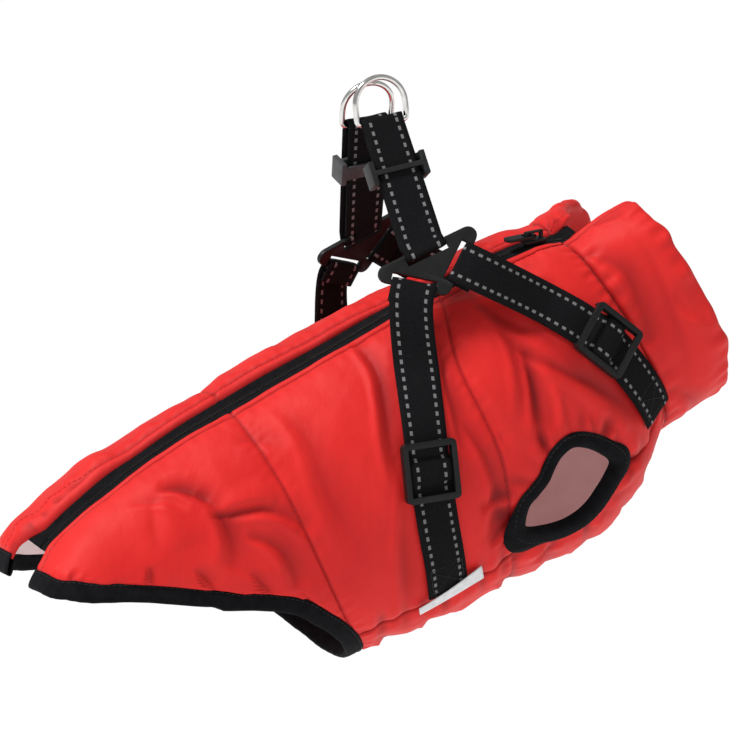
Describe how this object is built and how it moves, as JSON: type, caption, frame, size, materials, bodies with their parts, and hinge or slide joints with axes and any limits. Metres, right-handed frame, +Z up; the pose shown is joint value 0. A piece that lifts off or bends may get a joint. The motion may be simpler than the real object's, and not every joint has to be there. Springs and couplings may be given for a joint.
{
  "type": "dog coat with harness",
  "caption": "Padded dog coat with a raised collar, a zip along the back and a webbing harness whose handle straps hold two D-rings.",
  "frame": {"origin": "inside of the coat's back at the withers, on the middle line, where the coat rests on its wearer", "axes": "+X towards the neck, +Y to the wearer's left, +Z up; the back rises 27 degrees towards the neck as in the picture"},
  "size_m": [0.4339, 0.1613, 0.3322],
  "materials": {
    "coat_cloth": "woven polyester with a soft sheen",
    "lining_cloth": "pale brushed lining",
    "binding_cloth": "black woven binding",
    "zip_tape_cloth": "black zip tape",
    "webbing": "black webbing with two rows of pale reflective stitches",
    "black_plastic": "moulded black plastic",
    "nickel_steel": "bright nickel-plated wire",
    "label_cloth": "blank white woven tape"
  },
  "bodies": {
    "coat": {"back_panel_left": "coat_cloth", "back_panel_right": "coat_cloth", "belly_panel": "coat_cloth", "chest_slider_left": "black_plastic", "chest_slider_right": "black_plastic", "chest_strap_left": "webbing", "chest_strap_right": "webbing", "collar": "coat_cloth", "girth_slider_left": "black_plastic", "girth_slider_right": "black_plastic", "girth_strap_left": "webbing", "girth_strap_right": "webbing", "handle_slider_left": "black_plastic", "handle_slider_right": "black_plastic", "handle_strap_left": "webbing", "handle_strap_right": "webbing", "hem_band": "binding_cloth", "junction_plate_left": "black_plastic", "junction_plate_right": "black_plastic", "label": "label_cloth", "leg_binding_left": "binding_cloth", "leg_binding_right": "binding_cloth", "lining_belly": "lining_cloth", "lining_left": "lining_cloth", "lining_right": "lining_cloth", "zip_slider": "black_plastic", "zip_tape_left": "zip_tape_cloth", "zip_tape_right": "zip_tape_cloth"},
    "d_ring_right": {"d_ring_right": "nickel_steel"},
    "d_ring_left": {"d_ring_left": "nickel_steel"},
    "zip_pull_tab": {"zip_pull_tab": "black_plastic"}
  },
  "joints": [
    {"name": "ring_swing_right", "type": "hinge", "parent": "coat", "child": "d_ring_right", "pos_m": [-0.03165, -0.0145, 0.09593], "axis": [0.995, 0, 0.1], "range_deg": [-24, 120]},
    {"name": "ring_swing_left", "type": "hinge", "parent": "coat", "child": "d_ring_left", "pos_m": [-0.02915, 0.0145, 0.09293], "axis": [-0.995, 0, -0.1], "range_deg": [-5, 140]},
    {"name": "pull_tab_swing", "type": "hinge", "parent": "coat", "child": "zip_pull_tab", "pos_m": [0.06056, -0.01745, 0.02831], "axis": [-0.1596, 0.9726, 0.1691], "range_deg": [0, 170]}
  ]
}
